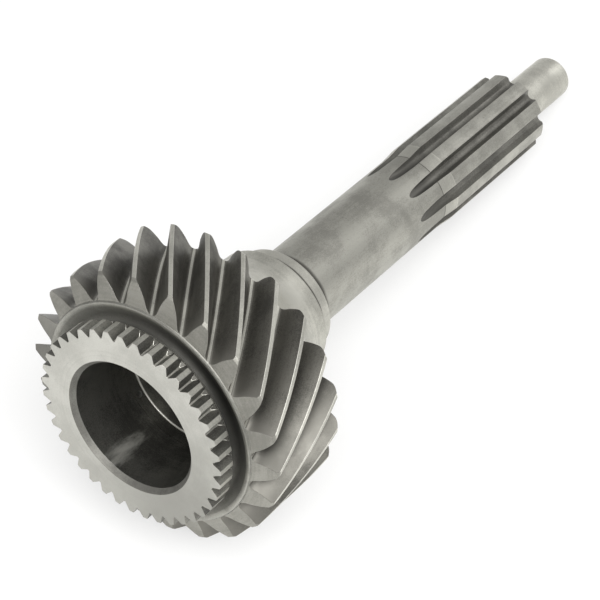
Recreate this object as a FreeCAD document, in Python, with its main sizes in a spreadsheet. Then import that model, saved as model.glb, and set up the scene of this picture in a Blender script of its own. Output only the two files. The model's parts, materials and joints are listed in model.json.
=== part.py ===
import FreeCAD, Part
import math
import os
import Sketcher

# Input shaft of a car gearbox, one forging that is turned, hobbed and ground.
# Its own frame has Z along the shaft, from the face of the dog ring to the pilot nose, and X
# in the middle of a gap of the clutch splines. Lengths are millimetres, angles degrees.
# Each diameter and length is a step from the one before it, so all that follows moves with it.
# The finished shaft is then laid down as it rests: on two teeth of its gear and on the far
# end of its splines, with the pilot nose in the air.

SIZES = [
    # Pocket in the head, where the output shaft's nose turns on rollers
    ("pocket_diameter", 41.32),
    ("pocket_wall_length", 22.0),
    ("pocket_bevel_width", 1.34),
    ("pocket_bevel_depth", 1.6),
    ("pocket_relief_step", 0.44),
    ("pocket_relief_length", 4.6),
    ("oil_hole_diameter", 2.0),
    ("oil_hole_setback", 2.1),
    ("oil_hole_gap", 2),
    # Dog ring, the straight teeth that the synchroniser sleeve slides over
    ("ring_face_width", 7.65),
    ("dog_count", 39),
    ("dog_height", 2.55),
    ("dog_length", 5.5),
    ("dog_gap_mouth", 3.65),
    ("dog_gap_floor", 0.55),
    ("dog_gap_slope", 1.15),
    ("dog_turn", 2.1),
    ("ring_back_bevel", 2.3),
    ("ring_back_taper", 0.8),
    # Recess between the dog ring and the gear
    ("neck_step", 1.7),
    ("neck_length", 3.2),
    ("neck_bevel", 1.0),
    ("recess_width", 7.7),
    ("recess_slope", 4.2),
    ("rim_edge", 0.4),
    ("rim_length", 0.9),
    # Helical gear, left hand
    ("gear_teeth", 22),
    ("gear_root_step", 0.1),
    ("gear_dedendum", 3.9),
    ("gear_addendum", 4.0),
    ("gear_tip_land", 1.42),
    ("gear_root_flat", 1.9),
    ("gear_root_rise", 0.44),
    ("gear_pressure_angle", 24.0),
    ("gear_lead", 356.6),
    ("gear_bevel_length", 1.95),
    ("gear_tip_bevel", 0.7),
    ("gear_width", 28.25),
    ("gear_turn", 2.2),
    # Shoulder, collar and bearing journal behind the gear
    ("shoulder_step", 0.6),
    ("shoulder_angle", 42.0),
    ("shoulder_blend", 23.0),
    ("shoulder_length", 27.55),
    ("collar_diameter", 41.2),
    ("collar_step", 2.9),
    ("journal_length", 6.55),
    ("journal_bevel", 0.5),
    ("undercut_width", 1.4),
    ("undercut_depth", 0.4),
    # Plain shaft and the clutch splines
    ("journal_step", 4.1),
    ("shaft_length", 54.8),
    ("spline_count", 10),
    ("spline_step", 0.65),
    ("spline_depth", 2.35),
    ("spline_gap_mouth", 4.5),
    ("spline_gap_foot", 2.9),
    ("spline_gap_floor", 1.2),
    ("spline_foot_height", 0.7),
    ("spline_cutter_radius", 60.0),
    ("spline_lead_in", 13.7),
    ("spline_ramp_length", 6.7),
    ("spline_length", 53.4),
    ("spline_end_bevel", 0.8),
    # Pilot nose, which runs in the crankshaft
    ("pilot_diameter", 14.8),
    ("pilot_length", 28.8),
    ("pilot_round", 1.3),
    ("pilot_root_bevel", 1.0),
    # How far the shapes that cut or fill a gap run past the metal, so that no thin skin is left
    ("dog_cut_overrun", 1.0),
    ("dog_slope_overlap", 0.2),
    ("spline_cut_overrun", 2.0),
    ("spline_end_overrun", 1.0),
    ("spline_climb_overrun", 0.6),
    ("gear_end_overrun", 0.5),
    ("gear_tip_overrun", 0.4),
    ("gear_base_gap", 0.02),
]

BLEND_STEPS = 4

doc = FreeCAD.newDocument("input_shaft")
sheet = doc.addObject("Spreadsheet::Sheet", "Sizes")
for row, (name, value) in enumerate(SIZES, start=1):
    sheet.set(f"A{row}", name.replace("_", " "))
    sheet.set(f"B{row}", str(value))
    sheet.setAlias(f"B{row}", name)
doc.recompute()

body = doc.addObject("PartDesign::Body", "turned_shaft")


def size(name):
    """A size as a number, read from the sheet."""
    return float(sheet.get(name))


def cell(name):
    """A size as an expression."""
    return f"Sizes.{name}"


def half(name):
    """Half of a size as an expression."""
    return f"Sizes.{name} / 2"


def total(*parts):
    """A sum of expressions and sizes by name. A leading minus subtracts."""
    terms = []
    for part in parts:
        sign = "-" if part.startswith("-") else "+"
        name = part.lstrip("-")
        terms.append(f"{sign} {cell(name)}" if name.isidentifier() else f"{sign} {name}")
    return "(" + " ".join(terms).removeprefix("+ ") + ")"


def value_of(expression):
    """An expression as a number, worked out by the sheet."""
    return float(sheet.evalExpression(expression))


def new_sketch(name, plane, height=None, turn=None, holder=body):
    """A sketch on one of its body's own planes, raised and turned about the shaft."""
    sketch = holder.newObject("Sketcher::SketchObject", name)
    for feature in holder.Origin.OriginFeatures:
        if feature.Role == plane:
            sketch.AttachmentSupport = (feature, [""])
    sketch.MapMode = "FlatFace"
    if height:
        sketch.setExpression("AttachmentOffset.Base.z", height)
    if turn:
        sketch.AttachmentOffset = FreeCAD.Placement(
            FreeCAD.Vector(0, 0, 0), FreeCAD.Rotation(FreeCAD.Vector(0, 0, 1), 1))
        sketch.setExpression("AttachmentOffset.Rotation.Angle", turn)
    return sketch


def tie_point(sketch, geometry, end, corner):
    """Holds one point of a sketch at two distances from the sketch's origin."""
    for kind, expression in zip(("DistanceX", "DistanceY"), corner):
        value = float(sketch.evalExpression(expression))
        row = sketch.addConstraint(Sketcher.Constraint(kind, -1, 1, geometry, end, value))
        sketch.setExpression(f"Constraints[{row}]", expression)


def spot(sketch, corner):
    """Where a corner given by two expressions lies in the sketch."""
    across, along = (float(sketch.evalExpression(expression)) for expression in corner)
    return FreeCAD.Vector(across, along, 0)


def arc_through(start, middle, finish):
    """An arc through three points of a sketch, drawn anticlockwise as sketches keep them."""
    circle = Part.Circle(start, middle, finish)
    centre = circle.Center
    turn = (middle - start).cross(finish - middle).z
    first, last = (start, finish) if turn > 0 else (finish, start)
    from_angle = math.atan2(first.y - centre.y, first.x - centre.x)
    to_angle = math.atan2(last.y - centre.y, last.x - centre.x)
    if to_angle < from_angle:
        to_angle += 2 * math.pi
    upright = Part.Circle(centre, FreeCAD.Vector(0, 0, 1), circle.Radius)
    return Part.ArcOfCircle(upright, from_angle, to_angle)


def draw_outline(sketch, corners, closed=True):
    """Straight lines from corner to corner, each corner tied to the sheet.

    A corner with a third member, another corner, ends an arc that passes through it.
    """
    count = len(corners)
    spans = count if closed else count - 1
    for number in range(spans):
        start = spot(sketch, corners[number][:2])
        following = corners[(number + 1) % count]
        finish = spot(sketch, following[:2])
        if len(following) > 2:
            sketch.addGeometry(arc_through(start, spot(sketch, following[2]), finish), False)
        else:
            sketch.addGeometry(Part.LineSegment(start, finish), False)
    ends = []
    for number in range(spans):
        curve = sketch.Geometry[number]
        start = spot(sketch, corners[number][:2])
        forward = curve.StartPoint.distanceToPoint(start) < curve.EndPoint.distanceToPoint(start)
        ends.append((1, 2) if forward else (2, 1))
    for number in range(spans):
        tie_point(sketch, number, ends[number][0], corners[number][:2])
        following = (number + 1) % count
        if following < spans:
            sketch.addConstraint(Sketcher.Constraint(
                "Coincident", number, ends[number][1], following, ends[following][0]))
        else:
            tie_point(sketch, number, ends[number][1], corners[following][:2])
    for number in range(spans):
        following = corners[(number + 1) % count]
        if len(following) > 2:
            point = sketch.addGeometry(Part.Point(spot(sketch, following[2])), True)
            tie_point(sketch, point, 1, following[2])
            sketch.addConstraint(Sketcher.Constraint("PointOnObject", point, 1, number))


def turned(kind, name, sketch):
    """A full turn of a profile about the shaft's axis, added or cut."""
    feature = body.newObject(kind, name)
    feature.Profile = sketch
    feature.ReferenceAxis = (sketch, ["V_Axis"])
    feature.Angle = 360
    doc.recompute()
    return feature


def around_shaft(name, features, count):
    """Repeats cuts evenly around the shaft's axis."""
    pattern = body.newObject("PartDesign::PolarPattern", name)
    pattern.Originals = features
    for feature in body.Origin.OriginFeatures:
        if feature.Role == "Z_Axis":
            pattern.Axis = (feature, [""])
    pattern.Angle = 360
    pattern.setExpression("Occurrences", count)
    body.Tip = pattern
    doc.recompute()
    return pattern


# Radii of the shaft, each one a step from the last
pocket_radius = half("pocket_diameter")
pocket_mouth = total(pocket_radius, "pocket_bevel_width")
relief_radius = total(pocket_radius, "pocket_relief_step")
dog_root = total(pocket_mouth, "ring_face_width")
dog_tip = total(dog_root, "dog_height")
ring_back = total(dog_tip, "-ring_back_bevel")
neck_radius = total(ring_back, "-neck_step")
rim_face = total(neck_radius, "recess_width")
rim_radius = total(rim_face, "rim_edge")
gear_root = total(rim_radius, "gear_root_step")
gear_pitch = total(gear_root, "gear_dedendum")
gear_tip = total(gear_pitch, "gear_addendum")
shoulder_radius = total(gear_root, "shoulder_step")
collar_radius = half("collar_diameter")
journal_radius = total(collar_radius, "-collar_step")
shaft_radius = total(journal_radius, "-journal_step")
undercut_radius = total(shaft_radius, "-undercut_depth")
spline_radius = total(shaft_radius, "spline_step")
spline_root = total(spline_radius, "-spline_depth")
pilot_radius = half("pilot_diameter")

# Places along the shaft, from the face of the dog ring
ring_back_start = total("dog_length", "ring_back_bevel")
neck_start = total(ring_back_start, "ring_back_taper")
dog_gap_end = total("dog_length", "dog_gap_slope")
recess_bottom = total(neck_start, "neck_length")
rim_front = total(recess_bottom, "-recess_slope")
rim_back = total(rim_front, "rim_length")
gear_bevel_end = total(rim_back, "gear_bevel_length")
gear_back = total(gear_bevel_end, "gear_width")
collar_end = total(gear_back, "shoulder_length")
journal_end = total(collar_end, "journal_length")
undercut_end = total(journal_end, "undercut_width")
spline_gap_start = total(journal_end, "shaft_length")
spline_ramp_start = total(spline_gap_start, "spline_lead_in")
spline_ramp_end = total(spline_ramp_start, "spline_ramp_length")
spline_end = total(spline_ramp_end, "spline_length")
pilot_end = total(spline_end, "pilot_length")
pocket_depth = total("pocket_wall_length", "pocket_relief_length")
oil_hole_height = total(pocket_depth, "-oil_hole_setback")

# The whole shaft, turned in one profile
# The shoulder is a cone that runs into the collar with a blend, drawn as short straight
# steps of one radius. The blend may take up the collar's length and no more.
shoulder_foot = (f"({gear_back} + ({shoulder_radius} - {collar_radius})"
                 f" / tan({cell('shoulder_angle')}))")
blend_room = f"0.97 * ({collar_end} - {shoulder_foot}) / tan({cell('shoulder_angle')} / 2)"
blend_radius = f"min({cell('shoulder_blend')}; {blend_room})"
blend_end = f"({shoulder_foot} + {blend_radius} * tan({cell('shoulder_angle')} / 2))"
shoulder_blend = []
for step in range(BLEND_STEPS, -1, -1):
    lean = f"({cell('shoulder_angle')} * {step} / {BLEND_STEPS})"
    shoulder_blend.append((f"{collar_radius} + {blend_radius} * (1 - cos({lean}))",
                           f"{blend_end} - {blend_radius} * sin({lean})"))
bevel_slope = f"({cell('gear_bevel_length')} / ({gear_tip} - {rim_radius}))"
tip_bevel_front = f"{gear_bevel_end} - {cell('gear_tip_bevel')} * {bevel_slope}"
web_slope = f"({cell('recess_slope')} / {cell('recess_width')})"
round_middle = f"{cell('pilot_round')} * (1 - sqrt(0.5))"
blank_sketch = new_sketch("blank_profile", "XZ_Plane")
draw_outline(blank_sketch, [
    ("0", "0"),
    (dog_tip, "0"),
    (dog_tip, cell("dog_length")),
    (ring_back, ring_back_start),
    (neck_radius, neck_start),
    (neck_radius, total(recess_bottom, "-neck_bevel")),
    (total(neck_radius, "neck_bevel"), f"{recess_bottom} - {cell('neck_bevel')} * {web_slope}"),
    (rim_face, rim_front),
    (rim_radius, rim_front),
    (rim_radius, rim_back),
    (total(gear_tip, "-gear_tip_bevel"), tip_bevel_front),
    (gear_tip, total(gear_bevel_end, "gear_tip_bevel")),
    (gear_tip, gear_back),
    (shoulder_radius, gear_back),
    *shoulder_blend,
    (collar_radius, collar_end),
    (journal_radius, collar_end),
    (journal_radius, total(journal_end, "-journal_bevel")),
    (total(journal_radius, "-journal_bevel"), journal_end),
    (undercut_radius, journal_end),
    (undercut_radius, undercut_end),
    (shaft_radius, undercut_end),
    (shaft_radius, spline_ramp_start),
    (spline_radius, spline_ramp_end),
    (spline_radius, total(spline_end, "-spline_end_bevel")),
    (total(spline_radius, "-spline_end_bevel"), spline_end),
    (total(pilot_radius, "pilot_root_bevel"), spline_end),
    (pilot_radius, total(spline_end, "pilot_root_bevel")),
    (pilot_radius, total(pilot_end, "-pilot_round")),
    (f"{pilot_radius} - {round_middle}", f"{pilot_end} - {round_middle}"),
    (total(pilot_radius, "-pilot_round"), pilot_end),
    ("0", pilot_end),
])
blank = turned("PartDesign::Revolution", "blank", blank_sketch)

# Pocket in the head, with a bevelled mouth, a ground wall and a relief before its floor
pocket_sketch = new_sketch("pocket_profile", "XZ_Plane")
draw_outline(pocket_sketch, [
    ("0", "0"),
    (pocket_mouth, "0"),
    (pocket_radius, cell("pocket_bevel_depth")),
    (pocket_radius, cell("pocket_wall_length")),
    (relief_radius, total("pocket_wall_length", "pocket_relief_step")),
    (relief_radius, pocket_depth),
    ("0", pocket_depth),
])
pocket = turned("PartDesign::Groove", "pocket", pocket_sketch)

# Dog teeth
# One gap is a trapezoid cut straight in from the face, past the tips, and repeated around.
gap_widening = f"(({cell('dog_gap_mouth')} - {cell('dog_gap_floor')}) / 2 / {cell('dog_height')})"
dog_outer_half = f"({half('dog_gap_mouth')} + {cell('dog_cut_overrun')} * {gap_widening})"
dog_outer = total(dog_tip, "dog_cut_overrun")
dog_sketch = new_sketch("dog_gap_profile", "XY_Plane", turn=cell("dog_turn"))
draw_outline(dog_sketch, [
    (dog_root, f"-{half('dog_gap_floor')}"),
    (dog_outer, f"-{dog_outer_half}"),
    (dog_outer, dog_outer_half),
    (dog_root, half("dog_gap_floor")),
])
dog_gap = body.newObject("PartDesign::Pocket", "dog_gap")
dog_gap.Profile = dog_sketch
dog_gap.Reversed = True
dog_gap.Length = value_of(dog_gap_end)
dog_gap.setExpression("Length", dog_gap_end)
doc.recompute()
dog_teeth = around_shaft("dog_teeth", [dog_gap], cell("dog_count"))

# The gaps end on a small slope, left where the cutter stops
slope_sketch = new_sketch("dog_gap_end_profile", "XZ_Plane")
slope_inner = total(dog_root, "-dog_slope_overlap")
draw_outline(slope_sketch, [
    (slope_inner, cell("dog_length")),
    (dog_root, cell("dog_length")),
    (total(dog_root, "dog_gap_slope"), dog_gap_end),
    (slope_inner, dog_gap_end),
])
dog_slopes = turned("PartDesign::Revolution", "dog_gap_ends", slope_sketch)
body.Tip = dog_slopes

# Clutch splines
# A gap's cutter runs in from the spline's far end at full depth, then climbs out of the shaft
# on its own radius. The gap has a narrow floor, two sloping feet and straight flanks.
foot_radius = total(spline_root, "spline_foot_height")
flank_rise = f"({cell('spline_depth')} - {cell('spline_foot_height')})"
flank_slope = f"(({cell('spline_gap_mouth')} - {cell('spline_gap_foot')}) / 2 / {flank_rise})"
spline_outer = total(spline_radius, "spline_cut_overrun")
spline_outer_half = f"({half('spline_gap_mouth')} + {cell('spline_cut_overrun')} * {flank_slope})"
spline_start = total(spline_end, "spline_end_overrun")
spline_sketch = new_sketch("spline_gap_profile", "XY_Plane", height=spline_start)
draw_outline(spline_sketch, [
    (spline_root, f"-{half('spline_gap_floor')}"),
    (foot_radius, f"-{half('spline_gap_foot')}"),
    (spline_outer, f"-{spline_outer_half}"),
    (spline_outer, spline_outer_half),
    (foot_radius, half("spline_gap_foot")),
    (spline_root, half("spline_gap_floor")),
])
gap_depth = f"({shaft_radius} - {spline_root})"


def climb_turn(depth):
    """Angle that the cutter turns through while it climbs by a depth."""
    return f"acos(1 - {depth} / {cell('spline_cutter_radius')})"


def climb_point(turn):
    """Where the floor of the gap is after the cutter has turned by an angle."""
    rise = f"{cell('spline_cutter_radius')} * (1 - cos({turn}))"
    run = f"{cell('spline_cutter_radius')} * (sin({climb_turn(gap_depth)}) - sin({turn}))"
    return (f"{spline_root} + {rise}", f"{spline_gap_start} + {run}")


climb_end = climb_turn(total(gap_depth, "spline_climb_overrun"))
path_sketch = new_sketch("spline_gap_path", "XZ_Plane")
draw_outline(path_sketch, [
    (spline_root, spline_start),
    climb_point("0"),
    climb_point(climb_end) + (climb_point(f"{climb_end} / 2"),),
], closed=False)
spline_gap = body.newObject("PartDesign::SubtractivePipe", "spline_gap")
spline_gap.Profile = spline_sketch
spline_gap.Spine = (path_sketch, ["Edge1", "Edge2"])
doc.recompute()
splines = around_shaft("splines", [spline_gap], cell("spline_count"))

# Oil hole, from the pocket's relief out to the root of a helical gap
helix_rate = f"360 / {cell('gear_lead')}"
oil_turn = (f"{cell('gear_turn')} + {helix_rate} * ({gear_back} - {oil_hole_height})"
            f" + {cell('oil_hole_gap')} * 360 / {cell('gear_teeth')}")
oil_hole = body.newObject("PartDesign::SubtractiveCylinder", "oil_hole")
oil_hole.setExpression("Radius", half("oil_hole_diameter"))
oil_hole.setExpression("Height", gear_tip)
oil_hole.Placement = FreeCAD.Placement(
    FreeCAD.Vector(0, 0, value_of(oil_hole_height)),
    FreeCAD.Rotation(FreeCAD.Vector(0, 0, 1), float(sheet.evalExpression(oil_turn)))
    * FreeCAD.Rotation(FreeCAD.Vector(0, 1, 0), 90))
doc.recompute()
body.Tip = oil_hole

# Helical gear
# One gap has flanks through three points of the involute, on a flat root with sloping feet.
# It is swept up the gear along the helix, from in front of the bevel to behind the back face.
base_radius = f"({gear_pitch} * cos({cell('gear_pressure_angle')}))"


def flank_turn(at_radius):
    """Angle of the involute at a radius, in degrees, from where it leaves the base circle."""
    lean = f"acos({base_radius} / ({at_radius}))"
    return f"(tan({lean}) * 180 / pi - {lean} / 1 deg)"


land_half_turn = f"(asin({half('gear_tip_land')} / {gear_tip}) / 1 deg)"
root_half_turn = (f"(180 / {cell('gear_teeth')} - {land_half_turn}"
                  f" - {flank_turn(gear_tip)})")


def flank_point(at_radius, side):
    """A point of the gap's flank at a radius."""
    turn = f"({side} * ({root_half_turn} + {flank_turn(at_radius)}))"
    return (f"({at_radius}) * cos({turn})", f"({at_radius}) * sin({turn})")


gap_body = doc.addObject("PartDesign::Body", "gear_gap")
gear_front_start = total(rim_back, "-gear_end_overrun")
gear_cut_height = total(gear_back, "gear_end_overrun", f"-{gear_front_start}")
gear_start_turn = f"{cell('gear_turn')} + {helix_rate} * ({gear_back} - {gear_front_start})"
flank_foot = f"max({base_radius} + {cell('gear_base_gap')}; {total(gear_root, 'gear_root_rise')})"
flank_middle = f"({flank_foot} + {gear_tip}) / 2"
flank_top = total(gear_tip, "gear_tip_overrun")
gear_sketch = new_sketch("gear_gap_profile", "XY_Plane", height=gear_front_start,
                         turn=gear_start_turn, holder=gap_body)
draw_outline(gear_sketch, [
    flank_point(flank_middle, "-1"),
    flank_point(flank_top, "-1"),
    flank_point(flank_top, "1") + ((flank_top, "0"),),
    flank_point(flank_middle, "1"),
    flank_point(flank_foot, "1"),
    (gear_root, half("gear_root_flat")),
    (gear_root, f"-{half('gear_root_flat')}"),
    flank_point(flank_foot, "-1"),
])
gear_gap = gap_body.newObject("PartDesign::AdditiveHelix", "gear_gap_sweep")
gear_gap.Profile = gear_sketch
gear_gap.ReferenceAxis = (gear_sketch, ["N_Axis"])
gear_gap.Mode = 0
gear_gap.setExpression("Pitch", cell("gear_lead"))
gear_gap.setExpression("Height", gear_cut_height)
gear_gap.LeftHanded = True
gap_body.Tip = gear_gap
doc.recompute()

# All the gaps of the gear, each one turned on from the last
centre = FreeCAD.Vector(0, 0, 0)
up = FreeCAD.Vector(0, 0, 1)
gaps = []
for number in range(round(size("gear_teeth"))):
    gap = gap_body.Shape.copy()
    gap.rotate(centre, up, number * 360 / size("gear_teeth"))
    gaps.append(gap)
gear_gaps = doc.addObject("Part::Feature", "gear_gaps")
gear_gaps.Shape = Part.makeCompound(gaps)

shaft = doc.addObject("Part::Cut", "input_shaft")
shaft.Label = "input_shaft"
shaft.Base = body
shaft.Tool = gear_gaps
shaft.Refine = False
doc.recompute()

# Lying at rest
# The lowest gap of the gear points down at its back face, so the two teeth beside it and the
# nearest corner of the splines touch the floor. The tilt follows from how low they reach.
gear_tip_radius = value_of(gear_tip)
spline_tip_radius = value_of(spline_radius)
land_turn = 2 * math.degrees(math.asin(size("gear_tip_land") / 2 / gear_tip_radius))
gear_reach = gear_tip_radius * math.cos(math.radians(180 / size("gear_teeth") - land_turn / 2))
spline_pitch_turn = 360 / size("spline_count")
gap_half_turn = math.degrees(math.asin(size("spline_gap_mouth") / 2 / spline_tip_radius))
from_gap = (size("gear_turn") + spline_pitch_turn / 2) % spline_pitch_turn - spline_pitch_turn / 2
corner_turn = max(gap_half_turn - abs(from_gap), 0)
spline_reach = spline_tip_radius * math.cos(math.radians(corner_turn))
rest_length = value_of(spline_end) - size("spline_end_bevel") - value_of(gear_back)
tilt = math.degrees(math.atan((gear_reach - spline_reach) / rest_length))
lowest = FreeCAD.Rotation(up, -size("gear_turn"))
laid = FreeCAD.Rotation(FreeCAD.Vector(1, 0, 0), -90 - tilt)
shaft.Placement = FreeCAD.Placement(centre, laid * FreeCAD.Rotation(up, 90) * lowest)
box = shaft.Shape.optimalBoundingBox(False)
shaft.Placement.Base = FreeCAD.Vector(-box.Center.x, -box.Center.y, -box.ZMin)
base = shaft.Placement.Base
print(f"tilt {tilt:.5f} degrees, base {base.x:.4f} {base.y:.4f} {base.z:.4f}")
print(f"box {box.XLength:.2f} x {box.YLength:.2f} x {box.ZLength:.2f}")

for item in doc.Objects:
    if "Invalid" in item.State or "Error" in item.State:
        raise SystemExit(f"{item.Name} failed: {item.getStatusString()}")
if shaft.Shape.isNull() or not shaft.Shape.isValid():
    raise SystemExit("the shaft's shape is not valid")
print(f"solids {len(shaft.Shape.Solids)}, faces {len(shaft.Shape.Faces)}, volume {shaft.Shape.Volume:.1f}")

os.makedirs("parts", exist_ok=True)
shaft.Shape.exportStep(f"parts/{shaft.Label}.step")
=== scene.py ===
# %% [markdown]
# # An input shaft of a gearbox
# One forging of steel: a hollow head with dog teeth, a left-hand helical gear, a blended
# shoulder, a collar and a ground journal, a long plain shaft, ten splines and a pilot nose.
# The frame holds the solid at its real size and place. This lesson builds a finer surface on
# the same sizes, with rounded edges, and gives each machined zone the finish of its cutter.

# %% Load the frame
import json
import math

import bmesh
import bpy
from mathutils import Matrix, Vector


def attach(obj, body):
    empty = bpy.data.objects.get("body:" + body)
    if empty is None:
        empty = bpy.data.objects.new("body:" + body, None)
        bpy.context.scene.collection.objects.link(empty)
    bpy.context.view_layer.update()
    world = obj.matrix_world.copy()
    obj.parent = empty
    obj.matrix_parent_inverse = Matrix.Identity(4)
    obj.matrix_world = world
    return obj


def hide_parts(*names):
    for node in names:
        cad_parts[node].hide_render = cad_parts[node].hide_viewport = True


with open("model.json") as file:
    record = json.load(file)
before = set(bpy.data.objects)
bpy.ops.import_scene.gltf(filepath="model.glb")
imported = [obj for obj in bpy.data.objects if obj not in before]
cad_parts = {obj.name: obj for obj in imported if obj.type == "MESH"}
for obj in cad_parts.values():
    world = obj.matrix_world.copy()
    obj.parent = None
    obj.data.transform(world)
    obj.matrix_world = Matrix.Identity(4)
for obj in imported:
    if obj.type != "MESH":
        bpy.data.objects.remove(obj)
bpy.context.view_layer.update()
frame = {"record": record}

# %% [markdown]
# ## Where the shaft lies
# The shaft lies on two gear teeth and on its splines, so its axis dips. The mounts of the
# record give that axis: the pocket's axis points out of the head, and the middle of the ring
# face lies straight off the axis in the direction that every angle is counted from.

# %% The shaft's own frame
mounts = {mount["name"]: mount for mount in frame["record"]["mounts"]}
along = -Vector(mounts["pocket_bore"]["axis"]).normalized()
on_axis = Vector(mounts["dog_teeth"]["pos_m"])
on_face = Vector(mounts["dog_ring_face"]["pos_m"])
head = on_axis + along * (on_face - on_axis).dot(along)
across = (on_face - head).normalized()
shaft_place = Matrix((across, along.cross(across), along)).transposed().to_4x4()
shaft_place.translation = head
to_shaft = shaft_place.inverted()
print("head centre", tuple(round(value, 4) for value in head))
print("dip of the axis", round(math.degrees(math.asin(-along.z)), 2), "degrees")

# %% [markdown]
# ## Sizes
# The same driving sizes as the solid, in metres and radians. Lengths run from the face of the
# dog ring to the pilot nose, and radii from the shaft's axis.

# %% Sizes of the head
MM = 0.001
DOG_COUNT = 39
DOG_TIP = 32.2 * MM
DOG_ROOT = 29.65 * MM
DOG_LENGTH = 5.5 * MM
DOG_GAP_MOUTH = 3.65 * MM
DOG_GAP_FLOOR = 0.55 * MM
DOG_GAP_SLOPE = 1.15 * MM
DOG_TURN = math.radians(2.1)
RING_BACK = (29.9 * MM, 7.8 * MM)
NECK = 28.2 * MM
NECK_START = 8.6 * MM
RECESS_BOTTOM = 11.8 * MM
RECESS_ROUND = 2.4 * MM
RECESS_SLOPE = math.atan2(4.2, 7.7)
RIM_ROUND = 1.3 * MM
RIM_FACE = 35.9 * MM
RIM = 36.3 * MM
RIM_FRONT = 7.6 * MM
RIM_BACK = 8.5 * MM
POCKET = 20.66 * MM
POCKET_MOUTH = 22.0 * MM
POCKET_BEVEL = 1.6 * MM
POCKET_WALL = 22.0 * MM
POCKET_RELIEF = 21.1 * MM
POCKET_DEPTH = 26.6 * MM
FLOOR_ROUND = 0.5 * MM
OIL_HOLE = 1.0 * MM
OIL_HOLE_AT = 24.5 * MM
OIL_HOLE_GAP = 2
print("dog ring", DOG_COUNT, "teeth on", round(2 * DOG_TIP / MM, 1), "mm")

# %% [markdown]
# ## The gear's sizes
# The gear is a left-hand helix. Its lead is the length in which a tooth would go once around
# the shaft. The pressure angle sets how steep the flanks stand, and the land is the narrow
# strip of the turned blank that is left on top of each tooth.

# %% Sizes of the gear
GEAR_TEETH = 22
GEAR_ROOT = 36.4 * MM
GEAR_PITCH = 40.3 * MM
GEAR_TIP = 44.29 * MM
GEAR_LAND = 1.42 * MM
GEAR_ROOT_FLAT = 0.9 * MM
GEAR_ROOT_ROUND = 1.9 * MM
PRESSURE_ANGLE = math.radians(24.0)
GEAR_LEAD = 356.6 * MM
GEAR_BEVEL_END = 10.45 * MM
GEAR_TIP_BEVEL = 0.7 * MM
GEAR_TIP_END = 38.7 * MM
GEAR_BACK = 40.05 * MM
GEAR_BACK_BEVEL = 2.2 * MM
GEAR_TURN = math.radians(2.2)
print("gear", GEAR_TEETH, "teeth on", round(2 * GEAR_TIP / MM, 1), "mm")

# %% [markdown]
# ## The sizes behind the gear
# Each step of the shaft is a seat: the journal takes the front bearing, the splines take the
# clutch plate and the pilot nose runs in the crankshaft. The radius of the spline cutter sets
# how long the gaps run out towards the gear.

# %% Sizes of the shoulder, shaft and splines
SHOULDER = 35.78 * MM
SHOULDER_ANGLE = math.radians(42.0)
SHOULDER_BLEND = 23.0 * MM
COLLAR = 20.6 * MM
COLLAR_END = 66.25 * MM
JOURNAL = 17.7 * MM
JOURNAL_END = 72.8 * MM
JOURNAL_BEVEL = 0.5 * MM
UNDERCUT_WIDTH = 1.4 * MM
UNDERCUT_DEPTH = 0.4 * MM
SHAFT = 13.6 * MM
SPLINE_COUNT = 10
SPLINE = 14.25 * MM
SPLINE_ROOT = 11.9 * MM
SPLINE_MOUTH = 4.5 * MM
SPLINE_FOOT = 2.9 * MM
SPLINE_FOOT_HEIGHT = 0.7 * MM
SPLINE_GAP_START = 127.6 * MM
SPLINE_CUTTER = 60.0 * MM
RAMP_START = 141.3 * MM
RAMP_END = 148.0 * MM
RAMP_LINE = 0.3 * MM
SPLINE_END = 201.4 * MM
SPLINE_BEVEL = 0.8 * MM
PILOT = 7.4 * MM
PILOT_END = 230.2 * MM
PILOT_ROUND = 1.45 * MM
PILOT_ROOT = 1.0 * MM
CENTRE_HOLE = 2.4 * MM
CENTRE_SLOPE = 1.73
CENTRE_DRILL = 0.7 * MM
CENTRE_DRILL_END = 5.0 * MM
CENTRE_DRILL_POINT = 5.4 * MM
print("overall length", round(PILOT_END / MM, 1), "mm")

# %% [markdown]
# ## A surface made of patches
# A boolean would leave long thin faces that no bevel can round. The teeth repeat and follow
# simple rules, so each zone is laid as rows of points instead, in radius, angle and length,
# and the rows meet on shared points. Welding the meeting points gives one closed skin.

# %% Patches
TURN = 2 * math.pi
skin = bmesh.new()
FINISHES = ["face", "pocket", "mouth", "dog", "gap", "recess", "rim", "bevel", "flank", "root", "land",
            "shoulder", "journal", "shaft", "spline", "groove", "pilot", "edge"]


def point(spot):
    """A corner of the skin from a radius, an angle and a length."""
    radius, angle, length = spot
    return skin.verts.new((radius * math.cos(angle), radius * math.sin(angle), length))


def patch(rows, finish, loop=False):
    """Four-sided faces between rows of spots. A loop closes each row on its first spot."""
    corners = [[point(spot) for spot in row] for row in rows]
    index = FINISHES.index(finish)
    for lower, upper in zip(corners, corners[1:]):
        count = len(lower)
        for number in range(count if loop else count - 1):
            following = (number + 1) % count
            ring = (lower[number], lower[following], upper[following], upper[number])
            skin.faces.new(ring).material_index = index


def between(first, last, steps):
    """Evenly spaced values from first to last, both included."""
    return [first + (last - first) * step / steps for step in range(steps + 1)]


def lathe(profile, angles, finish):
    """A turned zone: a profile of radii and lengths carried around a ring of angles."""
    patch([[(radius, angle, length) for angle in angles] for radius, length in profile],
          finish, loop=True)


print("finishes", ", ".join(FINISHES))

# %% [markdown]
# ## The dog teeth
# These straight teeth take the synchroniser's sleeve. Each gap is a trapezoid cut from the
# face, and it ends on a small slope where the cutter stopped. Every height of the gap's flank
# is one line of points, from the face to wherever the slope, a wall or the ring's bevel ends it.

# %% Gap between dog teeth
def solve(rule, low, high):
    """The value between low and high at which a rising rule passes zero."""
    for _ in range(40):
        middle = (low + high) / 2
        if rule(middle) < 0:
            low = middle
        else:
            high = middle
    return (low + high) / 2


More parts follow.
